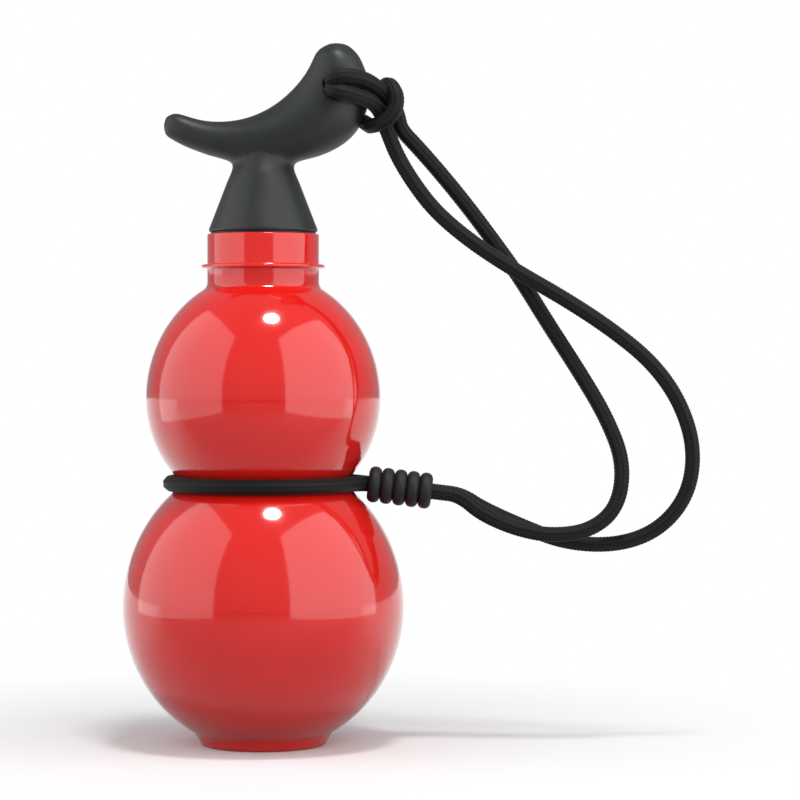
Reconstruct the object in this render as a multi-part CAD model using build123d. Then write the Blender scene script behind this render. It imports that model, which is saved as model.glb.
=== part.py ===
from build123d import *
import math
import os

# Gourd water bottle: two globes and a neck blown in one piece, a push-in stopper with a
# bird for its grip, and a cord from the bird's head to a noose round the waist.
# Millimetres. Origin: middle of the foot, on the ground. Z is up, the head points to +X,
# and the bird is seen side-on from -Y.

# Bottle shell
lower_globe_radius = 48.3
lower_globe_drop = 49.4
lower_globe_rise = 51.8
lower_globe_cut_off = 2.2
globe_spacing = 71.9
upper_globe_radius = 40.3
upper_globe_drop = 40.6
upper_globe_rise = 43.4
waist_round = 2.2
shell_wall = 1.5
foot_radius = 21.8
foot_height = 4.3
foot_round = 1.0
foot_band = 2.6
base_push_up = 2.6
base_wall = 2.4

# Neck and its support ring
neck_radius = 19.25
neck_bore_radius = 17.2
neck_length = 18.2
neck_round = 3.0
rim_round = 0.5
support_ring_radius = 21.1
support_ring_thickness = 1.4
support_ring_below_rim = 11.2

# Rim gasket
gasket_thickness = 0.5
gasket_radius = 18.0
gasket_side_gap = 0.15
seat_gap = 0.05

# Plug in the neck
plug_depth = 20.0
plug_gap = 0.35
plug_waist_radius = 15.2
plug_wall = 1.8
plug_round = 1.2
spigot_radius = 10.4
spigot_length = 7.0
spigot_gap = 0.05

# Seal rings on the plug
seal_section_radius = 1.2
seal_running_gap = 0.06
seal_groove_gap = 0.05
upper_seal_depth = 5.2
seal_spacing = 7.4

# Cone under the bird
cone_base_radius = 18.75
cone_top_radius = 10.45
cone_height = 21.3
cone_edge_round = 0.9
cone_core_depth = 17.5
cone_core_top_radius = 6.2
cone_run_in = 7.5

# Bird-shaped grip
bird_length = 70.0
bird_height = 43.6
bird_width = 22.4
cord_hole_radius = 4.65
cord_hole_mouth_round = 2.6
cord_hole_mouth_depth = 2.2
cord_hole_along_share = 0.367
cord_hole_height_share = 0.6565

# Cord and the noose round the waist
cord_diameter = 5.4
waist_seat_gap = 0.08
lead_gap = 0.4
lead_start_beyond_loop = 2.0
lead_bend_radius = 5.4
lead_droop = 6.9
lead_run_on = 1.0

# Bead on the two leads
bead_travel = 6.0
bead_first_end = 2.2
rib_count = 5
rib_pitch = 4.4
bead_height = 12.2
bead_width = 17.0
rib_round = 2.0
bead_bore_gap = 0.3
bead_mouth_depth = 2.6
bead_mouth_flare = 1.3

# The two free strands, each from its lead to the knot: (x, y, z)
outer_route = [
    (76.8, 2.9, 80.6), (89.0, 3.2, 74.6), (104.0, 3.8, 68.9), (122.0, 4.0, 68.0),
    (136.6, 3.4, 73.4), (146.4, 2.2, 85.4), (148.6, 0.8, 101.4), (143.4, -0.8, 117.8),
    (133.4, -2.2, 131.6), (118.8, -3.2, 143.2), (103.2, -3.8, 153.3), (86.8, -3.8, 162.6),
    (71.4, -3.4, 172.6), (59.2, -2.8, 182.9), (51.4, -2.2, 193.1), (45.8, -1.6, 202.6),
]
inner_route = [
    (76.0, -2.9, 78.6), (86.8, -3.2, 74.6), (99.0, -3.4, 72.2), (112.6, -3.2, 73.6),
    (122.0, -2.4, 81.8), (124.0, -1.0, 97.0), (118.0, 0.6, 112.6), (108.6, 2.0, 128.4),
    (98.0, 3.2, 144.8), (88.2, 3.8, 160.8), (79.1, 3.6, 173.4), (69.5, 3.0, 186.1),
    (60.5, 2.4, 197.0), (52.9, 1.8, 205.6),
]
knot_end_gap = 0.1

# The knot and the two turns through the hole in the bird's head, measured from the hole,
# the turns as half routes on one side
knot_from_hole = (16.5, 0.0, -6.5)
knot_half_width = 6.2
knot_half_height = 8.6
hole_strand_offset = 1.65
turn_beyond_head = 2.3
upper_turn = [(10.3, 12.2, 0.9), (16.7, 3.0, -3.6)]
lower_turn = [(10.5, 11.8, -4.9), (16.3, 3.0, -9.1)]
outer_end_from_hole = (17.2, -1.9, -15.9)
inner_end_from_hole = (21.6, 2.0, -14.6)
turn_bend_radius = 5.4

# Heights and radii that follow from the sizes above
cord_radius = cord_diameter / 2
lower_globe_z = lower_globe_drop - lower_globe_cut_off
upper_globe_z = lower_globe_z + globe_spacing
shoulder_z = upper_globe_z + upper_globe_rise * math.sqrt(1 - (neck_radius / upper_globe_radius) ** 2)
rim_z = shoulder_z + neck_length
cone_z = rim_z + gasket_thickness + 2 * seat_gap
cone_top_z = cone_z + cone_height
crown_z = cone_top_z + bird_height
hole_x = cord_hole_along_share * bird_length
hole_z = cone_top_z + cord_hole_height_share * bird_height
quarter_turn = 90
halvings = 60
ring_edge_share = 0.4
arc_share = 0.45
globe_steps = 8
half_oval_steps = 8


def offset_point(globe, angle, distance):
    """The point of a globe's outline at this angle, moved outwards by a distance."""
    radius, height, middle = globe
    slope = (math.cos(angle) / radius, math.sin(angle) / height)
    size = math.hypot(*slope)
    return (
        radius * math.cos(angle) + distance * slope[0] / size,
        middle + height * math.sin(angle) + distance * slope[1] / size,
    )


def bisect(is_below, low, high):
    """The value between low and high where the test stops being true."""
    for _ in range(halvings):
        middle = (low + high) / 2
        if is_below(middle):
            low = middle
        else:
            high = middle
    return (low + high) / 2


def angle_at_height(globe, distance, z):
    """The angle at which the outline, moved outwards, reaches a height."""
    rising = globe[1] > 0
    return bisect(lambda a: (offset_point(globe, a, distance)[1] < z) == rising, 0, math.pi / 2)


def groove_circle(lower, upper, radius):
    """A circle that rests in the waist on both globes: its centre and its two touching angles."""
    low = lower[2]
    high = upper[2]

    def lower_is_wider(z):
        lower_r = offset_point(lower, angle_at_height(lower, radius, z), radius)[0]
        upper_r = offset_point(upper, angle_at_height(upper, radius, z), radius)[0]
        return lower_r > upper_r

    z = bisect(lower_is_wider, low, high)
    lower_angle = angle_at_height(lower, radius, z)
    upper_angle = angle_at_height(upper, radius, z)
    return offset_point(lower, lower_angle, radius), lower_angle, upper_angle


def globe_arc(globe, start, end):
    """A stretch of a globe's outline between two angles, as a smooth curve through its formula."""
    radius, height, _ = globe
    angles = [start + (end - start) * step / globe_steps for step in range(globe_steps + 1)]
    heading = math.copysign(1, end - start)
    tangents = [
        (-radius * math.sin(angle) * heading, height * math.cos(angle) * heading)
        for angle in (start, end)
    ]
    return Spline(*[offset_point(globe, angle, 0) for angle in angles], tangents=tangents)


def globes(inset):
    """Radius, signed half height and middle height of the four half globes, drawn in by an inset."""
    return (
        (lower_globe_radius - inset, inset - lower_globe_drop, lower_globe_z),
        (lower_globe_radius - inset, lower_globe_rise - inset, lower_globe_z),
        (upper_globe_radius - inset, inset - upper_globe_drop, upper_globe_z),
        (upper_globe_radius - inset, upper_globe_rise - inset, upper_globe_z),
    )


def body_outline(inset, floor_z, neck_r):
    """The outline from the floor up to the neck: both globes, the waist and the neck's root."""
    lower_drop, lower_rise, upper_drop, upper_rise = globes(inset)
    waist_radius = waist_round + inset
    centre, waist_low, waist_high = groove_circle(lower_rise, upper_drop, waist_radius)
    start = angle_at_height(lower_drop, 0, floor_z)
    root_radius = neck_round + inset
    root_r = neck_r + root_radius
    root = bisect(lambda a: offset_point(upper_rise, a, root_radius)[0] > root_r, 0, math.pi / 2)
    root_z = offset_point(upper_rise, root, root_radius)[1]
    root_middle = (math.pi + root) / 2 + math.pi / 2
    root_low = offset_point(upper_rise, root, 0)
    waist_arc = ThreePointArc(
        offset_point(lower_rise, waist_low, 0),
        (centre[0] - waist_radius, centre[1]),
        offset_point(upper_drop, waist_high, 0),
    )
    root_arc = ThreePointArc(
        root_low,
        (root_r + root_radius * math.cos(root_middle), root_z + root_radius * math.sin(root_middle)),
        (neck_r, root_z),
    )
    return [
        globe_arc(lower_drop, start, 0),
        globe_arc(lower_rise, 0, waist_low),
        waist_arc,
        globe_arc(upper_drop, waist_high, 0),
        globe_arc(upper_rise, 0, root),
        root_arc,
    ], root_z


def dome_arc(rim_r, height):
    """A shallow arc from the axis down to a rim at height zero, level at the axis."""
    radius = (rim_r ** 2 + height ** 2) / (2 * height)
    half = math.asin(rim_r / radius) / 2
    middle = (radius * math.sin(half), height - radius + radius * math.cos(half))
    return ThreePointArc((0, height), middle, (rim_r, 0))


def revolved(edges):
    """A solid turned about Z from an outline drawn in radius and height."""
    return revolve(Plane.XZ * make_face(edges), Axis.Z)


def ring_between(inner_r, outer_r, low_z, high_z):
    """A flat ring about Z."""
    corners = [(inner_r, low_z), (outer_r, low_z), (outer_r, high_z), (inner_r, high_z)]
    return revolved(Polyline(*corners, close=True))


def make_bottle():
    """The blown shell: foot, globes, waist, neck and support ring in one piece."""
    outer, root_z = body_outline(0, foot_height, neck_radius)
    foot_start = outer[0] @ 0
    contact_r = foot_radius - foot_round
    push_up_r = contact_r - foot_band
    outer_edges = [
        dome_arc(push_up_r, base_push_up),
        Line((push_up_r, 0), (contact_r, 0)),
        ThreePointArc(
            (contact_r, 0),
            (contact_r + foot_round * math.sin(math.pi / 4), foot_round * (1 - math.cos(math.pi / 4))),
            (foot_radius, foot_round),
        ),
        Line((foot_radius, foot_round), foot_start),
        *outer,
        Line((neck_radius, root_z), (neck_radius, rim_z)),
        Line((neck_radius, rim_z), (0, rim_z)),
        Line((0, rim_z), (0, base_push_up)),
    ]
    floor_z = base_push_up + base_wall
    inner, bore_root_z = body_outline(shell_wall, floor_z, neck_bore_radius)
    over_rim = rim_z + neck_round
    inner_edges = [
        Line((0, floor_z), inner[0] @ 0),
        *inner,
        Line((neck_bore_radius, bore_root_z), (neck_bore_radius, over_rim)),
        Line((neck_bore_radius, over_rim), (0, over_rim)),
        Line((0, over_rim), (0, floor_z)),
    ]
    ring_z = rim_z - support_ring_below_rim
    ring = ring_between(
        neck_radius - shell_wall / 2,
        support_ring_radius,
        ring_z - support_ring_thickness / 2,
        ring_z + support_ring_thickness / 2,
    )
    ring_edges = ring.edges().filter_by(GeomType.CIRCLE).group_by(SortBy.RADIUS)[-1]
    ring = fillet(ring_edges, support_ring_thickness * ring_edge_share)
    shell = revolved(outer_edges) + ring - revolved(inner_edges)
    rim_edges = shell.edges().filter_by(GeomType.CIRCLE).group_by(Axis.Z)[-1]
    return fillet(rim_edges, rim_round)


def make_gasket():
    """A flat ring that lies on the rim and on the plug's shoulder."""
    low = rim_z + seat_gap
    return ring_between(plug_waist_radius + gasket_side_gap, gasket_radius, low, low + gasket_thickness)


def seal_heights():
    """The heights of the two seal rings."""
    upper = rim_z - upper_seal_depth
    return upper, upper - seal_spacing


def make_plug():
    """The hollow plug: barrel, two ring grooves, waist for the gasket and a spigot on top."""
    barrel_r = neck_bore_radius - plug_gap
    bottom_z = rim_z - plug_depth
    corners = [
        (0, bottom_z),
        (barrel_r, bottom_z),
        (barrel_r, rim_z),
        (plug_waist_radius, rim_z),
        (plug_waist_radius, cone_z),
        (spigot_radius, cone_z),
        (spigot_radius, cone_z + spigot_length),
        (0, cone_z + spigot_length),
    ]
    plug = revolved(Polyline(*corners, close=True))
    lip = plug.edges().filter_by(GeomType.CIRCLE).group_by(Axis.Z)[0]
    plug = fillet(lip, plug_round)
    groove_half = seal_section_radius + seal_groove_gap
    ring_middle = neck_bore_radius - seal_running_gap - seal_section_radius
    for height in seal_heights():
        low, high = height - groove_half, height + groove_half
        plug -= ring_between(ring_middle - groove_half, neck_bore_radius, low, high)
    hollow_r = ring_middle - groove_half - plug_wall
    top_z = cone_z + spigot_length
    core_r = min(hollow_r, spigot_radius - plug_wall)
    hollow = [
        (0, bottom_z + plug_wall),
        (hollow_r, bottom_z + plug_wall),
        (hollow_r, rim_z - plug_wall),
        (core_r, cone_z),
        (core_r, top_z),
        (0, top_z),
    ]
    return plug - revolved(Polyline(*hollow, close=True))


def make_seal(height):
    """One round seal ring."""
    middle = neck_bore_radius - seal_running_gap - seal_section_radius
    return revolve(Plane.XZ * Pos(middle, height) * Circle(seal_section_radius), Axis.Z)


# Cuts through the bird from tail to crown: back and belly as shares of its length and
# height from the middle of the cone's top, and the half width as a share of its width
bird_section_shares = [
    (-0.477, 0.410, -0.481, 0.293, 0.085),
    (-0.462, 0.430, -0.467, 0.263, 0.142),
    (-0.431, 0.446, -0.429, 0.225, 0.196),
    (-0.377, 0.427, -0.358, 0.171, 0.241),
    (-0.300, 0.394, -0.257, 0.112, 0.290),
    (-0.200, 0.383, -0.121, 0.051, 0.357),
    (-0.081, 0.412, 0.057, 0.035, 0.429),
    (0.036, 0.494, 0.247, 0.097, 0.478),
    (0.122, 0.599, 0.385, 0.197, 0.500),
    (0.182, 0.702, 0.471, 0.336, 0.496),
    (0.227, 0.812, 0.515, 0.514, 0.469),
    (0.256, 0.909, 0.519, 0.688, 0.420),
    (0.283, 0.958, 0.488, 0.841, 0.344),
    (0.309, 0.982, 0.461, 0.916, 0.250),
    (0.334, 0.995, 0.424, 0.971, 0.150),
]
tail_tip_share = (-0.489, 0.352)
oval_handle_share = 0.5523
crown_share = (0.381, 1.0)


def bird_point(x_share, z_share):
    """A point of the bird's middle plane, from shares of its length and height."""
    return Vector(x_share * bird_length, 0, cone_top_z + z_share * bird_height)


def oval(half_width, half_height):
    """An oval face, its outline of four curves."""
    side = Vector(half_width, 0)
    top = Vector(0, half_height)
    quarters = [(side, top), (top, -side), (-side, -top), (-top, side)]
    return make_face([
        Bezier(start, start + end * oval_handle_share, end + start * oval_handle_share, end)
        for start, end in quarters
    ])


def half_oval(back, belly, reach):
    """One side of an oval cut through the bird, from its back to its belly."""
    middle = (back + belly) / 2
    upwards = (back - belly) / 2
    sideways = Vector(0, reach, 0)
    angles = [math.pi * step / half_oval_steps for step in range(half_oval_steps + 1)]
    points = [middle + upwards * math.cos(angle) + sideways * math.sin(angle) for angle in angles]
    return Wire([Spline(*points, tangents=[sideways, -sideways])])


def make_bird():
    """The bird's body: a smooth skin on each side, which meet along the back and the belly."""
    skins = []
    for side in (1, -1):
        cuts = [
            half_oval(bird_point(back_x, back_z), bird_point(belly_x, belly_z), side * share * bird_width)
            for back_x, back_z, belly_x, belly_z, share in bird_section_shares
        ]
        tips = [Vertex(*bird_point(*share)) for share in (tail_tip_share, crown_share)]
        skins.extend(Shell.make_loft([tips[0], *cuts, tips[1]]).faces())
    return Solid(Shell(skins))


def cone_radius_at(z):
    """The radius of the cone's side at a height."""
    return cone_base_radius - (cone_base_radius - cone_top_radius) * (z - cone_z) / cone_height


def make_hole_cutter():
    """The cord's hole through the head: a round bore that flares into a rounded mouth each side."""
    bore_end = bird_width / 2 - cord_hole_mouth_depth
    mouth_end = bore_end + cord_hole_mouth_round
    mouth_r = cord_hole_radius + cord_hole_mouth_round
    flare_x = mouth_r - cord_hole_mouth_round * math.cos(math.pi / 4)
    flare_z = bore_end + cord_hole_mouth_round * math.sin(math.pi / 4)
    return revolved([
        Line((0, -mouth_end), (mouth_r, -mouth_end)),
        ThreePointArc((mouth_r, -mouth_end), (flare_x, -flare_z), (cord_hole_radius, -bore_end)),
        Line((cord_hole_radius, -bore_end), (cord_hole_radius, bore_end)),
        ThreePointArc((cord_hole_radius, bore_end), (flare_x, flare_z), (mouth_r, mouth_end)),
        Line((mouth_r, mouth_end), (0, mouth_end)),
        Line((0, mouth_end), (0, -mouth_end)),
    ])


def make_handle():
    """The stopper's outer moulding: cone, bird and the hole through the head."""
    run_in_z = cone_top_z + cone_run_in
    top_r = cone_radius_at(run_in_z)
    corners = [(0, cone_z), (cone_base_radius, cone_z), (top_r, run_in_z), (0, run_in_z)]
    cone = revolved(Polyline(*corners, close=True))
    base_edge = cone.edges().filter_by(GeomType.CIRCLE).group_by(Axis.Z)[0]
    cone = fillet(base_edge, cone_edge_round)
    handle = cone + make_bird()
    handle -= Pos(hole_x, 0, hole_z) * Rot(quarter_turn, 0, 0) * make_hole_cutter()
    socket_r = spigot_radius + spigot_gap
    socket_z = cone_z + spigot_length + spigot_gap
    core = [
        (0, cone_z),
        (socket_r, cone_z),
        (socket_r, socket_z),
        (cone_core_top_radius, cone_z + cone_core_depth),
        (0, cone_z + cone_core_depth),
    ]
    return handle - revolved(Polyline(*core, close=True))


def waist_loop_seat():
    """The radius and height of the cord's ring where it rests on both globes."""
    _, lower_rise, upper_drop, _ = globes(0)
    centre, _, _ = groove_circle(lower_rise, upper_drop, cord_radius + waist_seat_gap)
    return centre


loop_radius, loop_z = waist_loop_seat()
lead_y = cord_radius + lead_gap / 2
lead_x = loop_radius + lead_start_beyond_loop
lead_way = Vector(1, 0, 0).rotate(Axis.Y, lead_droop)
bead_length = rib_count * rib_pitch
lead_length = bead_first_end + bead_length + bead_travel + lead_run_on


def lead_corner(side):
    """Where a lead turns out of the noose, on one side."""
    return Vector(lead_x, side * lead_y, loop_z)


def lead_end(side):
    """Where a lead ends and its free strand goes on."""
    return lead_corner(side) + lead_way * lead_length


def from_hole(point):
    """A point given from the middle of the hole in the bird's head."""
    return hole_x + point[0], point[1], hole_z + point[2]


def round_tube(path):
    """A round cord swept along a path of straight runs and arcs."""
    section = Plane(origin=path @ 0, z_dir=path % 0) * Circle(cord_radius)
    return sweep(section, path=path)


def make_noose():
    """The cord round the waist, and the two leads that the bead slides on."""
    reach = math.hypot(lead_x, lead_y)
    touch = math.acos(loop_radius / reach) + math.atan2(lead_y, lead_x)
    halves = []
    for side in (1, -1):
        tangent_point = Vector(
            loop_radius * math.cos(touch), side * loop_radius * math.sin(touch), loop_z
        )
        halves.append((lead_end(side), lead_corner(side), tangent_point))
    first = FilletPolyline(*halves[0], radius=lead_bend_radius)
    ring = ThreePointArc(halves[0][2], (-loop_radius, 0, loop_z), halves[1][2])
    last = FilletPolyline(*reversed(halves[1]), radius=lead_bend_radius)
    return round_tube(Wire([*first.edges(), ring, *last.edges()]))


def arc_radii(points):
    """One radius for each corner: as large as the shorter of its two runs allows."""
    radii = []
    for before, corner, after in zip(points, points[1:], points[2:]):
        first = Vector(*corner) - Vector(*before)
        second = Vector(*after) - Vector(*corner)
        half = math.radians(first.get_angle(second)) / 2
        radii.append(arc_share * min(first.length, second.length) / math.tan(half))
    return radii


def make_strand(name, side, route, knot_end):
    """One free strand from its lead up to the knot."""
    start = lead_end(side)
    straight_on = start + lead_way * cord_diameter
    points = [start, straight_on, *[Vector(*point) for point in route], Vector(*knot_end)]
    radii = arc_radii(points)
    path = FilletPolyline(*points, radius=radii)
    tube = round_tube(path)
    expected = math.pi * cord_radius ** 2 * path.length
    print(name, "length", round(path.length, 1), "volume share", round(tube.volume / expected, 4))
    print(name, "radii", [round(radius, 1) for radius in radii])
    return tube


def make_bead():
    """The ribbed bead on the two leads, drawn upright and then laid along them."""
    rib_outline = SlotOverall(bead_width, bead_height)
    bead = None
    for index in range(rib_count):
        rib = Pos(0, 0, index * rib_pitch) * extrude(rib_outline, rib_pitch)
        rib = fillet(rib.faces().filter_by(Axis.Z).edges(), rib_round)
        bead = rib if bead is None else bead + rib
    bore_width = 2 * (cord_radius + bead_bore_gap)
    bore = SlotCenterToCenter(2 * lead_y, bore_width)
    mouth = SlotCenterToCenter(2 * (lead_y + bead_mouth_flare), bore_width)
    bead -= extrude(bore, bead_length)
    bead -= loft([mouth, Pos(0, 0, bead_mouth_depth) * bore])
    lie = Plane(origin=lead_corner(0) + lead_way * bead_first_end, x_dir=(0, 1, 0), z_dir=lead_way)
    return lie * bead


def make_knot():
    """The two turns through the bird's head, the wrap over them and the start of each strand."""
    half_oval = oval(knot_half_width, knot_half_height) & Pos(knot_half_width, 0) * Rectangle(
        2 * knot_half_width, 2 * knot_half_height
    )
    knot = Pos(*from_hole(knot_from_hole)) * revolve(Plane.XZ * half_oval, Axis.Z)
    for offset, turn in ((hole_strand_offset, upper_turn), (-hole_strand_offset, lower_turn)):
        beside_head = (0, bird_width / 2 + turn_beyond_head, offset)
        behind = [from_hole(point) for point in (beside_head, *turn)]
        before = [(x, -y, z) for x, y, z in behind]
        knot += round_tube(FilletPolyline(*behind[::-1], *before, radius=turn_bend_radius))
    for end, before in ((outer_end_from_hole, outer_route[-1]), (inner_end_from_hole, inner_route[-1])):
        strand_end = Vector(*from_hole(end))
        upwards = (strand_end - Vector(*before)).normalized()
        start = strand_end + upwards * knot_end_gap
        stub = Line(start, start + upwards * cord_diameter)
        knot += round_tube(stub)
    return knot


def main():
    parts = {
        "bottle": make_bottle(),
        "rim_gasket": make_gasket(),
        "stopper_handle": make_handle(),
        "stopper_plug": make_plug(),
        "seal_ring_upper": make_seal(seal_heights()[0]),
        "seal_ring_lower": make_seal(seal_heights()[1]),
        "cord_knot": make_knot(),
        "cord_outer_strand": make_strand("outer", 1, outer_route, from_hole(outer_end_from_hole)),
        "cord_inner_strand": make_strand("inner", -1, inner_route, from_hole(inner_end_from_hole)),
        "cord_waist_noose": make_noose(),
        "cord_bead": make_bead(),
    }
    os.makedirs("parts", exist_ok=True)
    for name, solid in parts.items():
        export_step(solid, f"parts/{name}.step")
    print("rim", round(rim_z, 2), "cone", round(cone_z, 2), "crown", round(crown_z, 2))
    print("loop", round(loop_radius, 2), round(loop_z, 2), "lead end", lead_end(1))


main()
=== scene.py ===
# %% [markdown]
# A red gourd-shaped water bottle with a black bird for its stopper and a black carrying
# cord. Everything below is placed in metres in that same frame: Z is up, the bird's head
# points to +X, and the bird is seen side-on from -Y. The box of the CAD model is kept.

# %% Load the frame
import math

import bmesh
import bpy
import numpy as np
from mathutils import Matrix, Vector


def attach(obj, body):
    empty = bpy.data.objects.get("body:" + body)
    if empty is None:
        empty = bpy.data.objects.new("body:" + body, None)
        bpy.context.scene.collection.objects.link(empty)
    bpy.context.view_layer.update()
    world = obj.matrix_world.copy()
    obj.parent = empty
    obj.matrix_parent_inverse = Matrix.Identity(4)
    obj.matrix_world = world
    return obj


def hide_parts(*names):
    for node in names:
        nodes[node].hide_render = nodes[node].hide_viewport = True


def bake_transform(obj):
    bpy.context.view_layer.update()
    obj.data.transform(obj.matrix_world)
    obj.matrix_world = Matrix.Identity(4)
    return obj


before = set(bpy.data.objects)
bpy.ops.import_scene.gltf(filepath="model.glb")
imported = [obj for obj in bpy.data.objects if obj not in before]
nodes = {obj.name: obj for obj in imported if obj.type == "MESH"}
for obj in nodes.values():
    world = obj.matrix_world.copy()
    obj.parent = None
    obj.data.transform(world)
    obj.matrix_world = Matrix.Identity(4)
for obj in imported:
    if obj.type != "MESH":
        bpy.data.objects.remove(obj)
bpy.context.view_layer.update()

print("nodes:", sorted(nodes))

# %% [markdown]
# The photograph was taken side-on, a little above the middle of the bottle and from about
# a metre away. A long lens keeps the two globes nearly undistorted. The camera is made
# first, because the cord is laid out to look right from here.

# %% Camera
camera_place = Vector((0.047, -0.990, 0.137))
camera_target = Vector((0.047, 0.0, 0.1184))
bpy.ops.object.camera_add(location=camera_place)
camera = bpy.context.object
camera.rotation_euler = (camera_target - camera_place).to_track_quat("-Z", "Y").to_euler()
camera.data.sensor_width = 36
camera.data.lens = 129.5
bpy.context.scene.camera = camera
bpy.context.scene.view_settings.view_transform = "Standard"
print("camera at", tuple(round(c, 3) for c in camera_place))

# %% [markdown]
# The cord is a hollow braid of black polyester, 5.4 mm thick. From the bead it goes on as
# two strands, which hang out to the side in two loops of different size and come together
# again at the bird's head. A braid could be made from dozens of swept yarns, but those
# would be far too heavy, so each length is one tube whose skin carries the relief of the
# yarns: eight rows of slanting stitches round it, leaning left and right in turn, which
# meet as rows of small Vs. Its line is read from a smooth spline over a few chosen points.
# Lengths here and below are in metres.

# %% Cord sizes
cord_diameter = 0.0054
braid_rows = 8
braid_pitch = 0.00125
braid_lean = 0.85
braid_relief = 0.00028
row_roundness = 0.6      # the lower, the flatter the rows between their grooves
stitch_share = 0.45      # how much of the relief is stitches, the rest is rows
ring_step = 0.00030
ring_sides = 56
direction_rounds = 6     # evens out the spline's small steps in direction


def spline_line(name, controls, step):
    """Evenly spaced points along a smooth spline that is guided by a few points."""
    curve = bpy.data.curves.new(name, "CURVE")
    curve.dimensions = "3D"
    curve.resolution_u = 40
    spline = curve.splines.new("NURBS")
    spline.points.add(len(controls) - 1)
    for point, place in zip(spline.points, controls):
        point.co = (*place, 1)
    spline.order_u = 3
    spline.use_endpoint_u = True
    guide = bpy.data.objects.new(name, curve)
    bpy.context.scene.collection.objects.link(guide)
    bpy.context.view_layer.update()
    mesh = bpy.data.meshes.new_from_object(guide)
    read = np.array([v.co for v in mesh.vertices])
    bpy.data.objects.remove(guide)
    bpy.data.meshes.remove(mesh)
    runs = np.linalg.norm(np.diff(read, axis=0), axis=1)
    read = read[np.concatenate([[True], runs > 1e-9])]
    reach = np.concatenate([[0], np.cumsum(np.linalg.norm(np.diff(read, axis=0), axis=1))])
    count = max(8, round(reach[-1] / step))
    wanted = np.linspace(0, reach[-1], count + 1)
    line = np.stack([np.interp(wanted, reach, read[:, axis]) for axis in range(3)], axis=1)
    print(name, "is", round(reach[-1] * 1000, 1), "mm long")
    return line


def line_length(line):
    """The length of a line of points."""
    return float(np.linalg.norm(np.diff(line, axis=0), axis=1).sum())


def evened(values, rounds):
    """Each value but the first and last drawn towards its neighbours, several times over."""
    for _ in range(rounds):
        values[1:-1] = (values[:-2] + 2 * values[1:-1] + values[2:]) / 4
    return values


def carried_frames(line):
    """Two directions across the line at each point, which don't twist along it."""
    ahead = evened(np.gradient(line, axis=0), direction_rounds)
    ahead /= np.linalg.norm(ahead, axis=1)[:, None]
    sideways = np.array((0.0, 1.0, 0.0))    # no cord here starts out along Y
    across = []
    for way in ahead:
        sideways = sideways - way * (sideways @ way)
        sideways = sideways / np.linalg.norm(sideways)
        across.append(sideways)
    across = np.array(across)
    return across, np.cross(ahead, across)


# %% [markdown]
# The stitches' relief is one small formula. Round the cord it makes rows with a groove
# between them, and along each row it makes slanting ridges. The ridges of two neighbouring
# rows meet at the groove, which gives the Vs.

# %% Braided tube
def braid_relief_at(turn, along):
    """How far the skin lies below its highest places, 0 to 1, round and along the cord."""
    row = turn * braid_rows
    across = row % 1.0 - 0.5
    lean = np.where(np.floor(row) % 2 == 0, 1.0, -1.0)
    crown = np.cos(math.pi * across) ** row_roundness
    stitch = 0.5 + 0.5 * np.cos(2 * math.pi * (along / braid_pitch + lean * across * braid_lean))
    return 1 - crown * (1 - stitch_share + stitch_share * stitch)


def braided_tube(name, line, frames, along, widths=1.0):
    """A tube along a line with the braid's relief, and a UV map in metres."""
    sides = np.arange(ring_sides)
    turn = sides / ring_sides
    angle = 2 * math.pi * turn
    sink = braid_relief_at(turn[None, :], along[:, None]) * braid_relief
    radius = (cord_diameter / 2 - sink) * np.reshape(widths, (-1, 1))
    across, up = (direction[:, None, :] for direction in frames)
    sideways = (np.cos(angle) * radius)[:, :, None]
    upwards = (np.sin(angle) * radius)[:, :, None]
    points = (line[:, None, :] + across * sideways + up * upwards).reshape(-1, 3)
    ring_starts = np.arange(len(line) - 1)[:, None] * ring_sides
    first = ring_starts + sides
    after = ring_starts + (sides + 1) % ring_sides
    quads = np.stack([first, after, after + ring_sides, first + ring_sides], axis=-1).reshape(-1, 4)
    mesh = bpy.data.meshes.new(name)
    last = len(points) - ring_sides
    caps = [list(range(ring_sides))[::-1], list(range(last, last + ring_sides))]
    mesh.from_pydata(points.tolist(), [], quads.tolist() + caps)
    layer = mesh.uv_layers.new(name="Cord")
    corners = np.zeros((len(mesh.loops), 2))
    side = np.tile(sides, len(line) - 1)
    ring = np.repeat(np.arange(len(line) - 1), ring_sides)
    u = np.stack([side, side + 1, side + 1, side], axis=1) / ring_sides
    v = np.stack([along[ring], along[ring], along[ring + 1], along[ring + 1]], axis=1)
    corners[: u.size, 0] = u.ravel() * math.pi * cord_diameter
    corners[: v.size, 1] = v.ravel()
    layer.data.foreach_set("uv", corners.astype(np.float32).ravel())
    # How high each place stands, kept so that the material can paint shade into the hollows.
    depth = mesh.attributes.new("Stitch_height_for_shade", "FLOAT", "POINT")
    depth.data.foreach_set("value", (1 - sink / braid_relief).astype(np.float32).ravel())
    mesh.polygons.foreach_set("use_smooth", [True] * (len(mesh.polygons) - 2) + [False] * 2)
    mesh.update()
    piece = bpy.data.objects.new(name, mesh)
    bpy.context.scene.collection.objects.link(piece)
    print(name, "has", len(mesh.polygons), "faces")
    return piece
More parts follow.
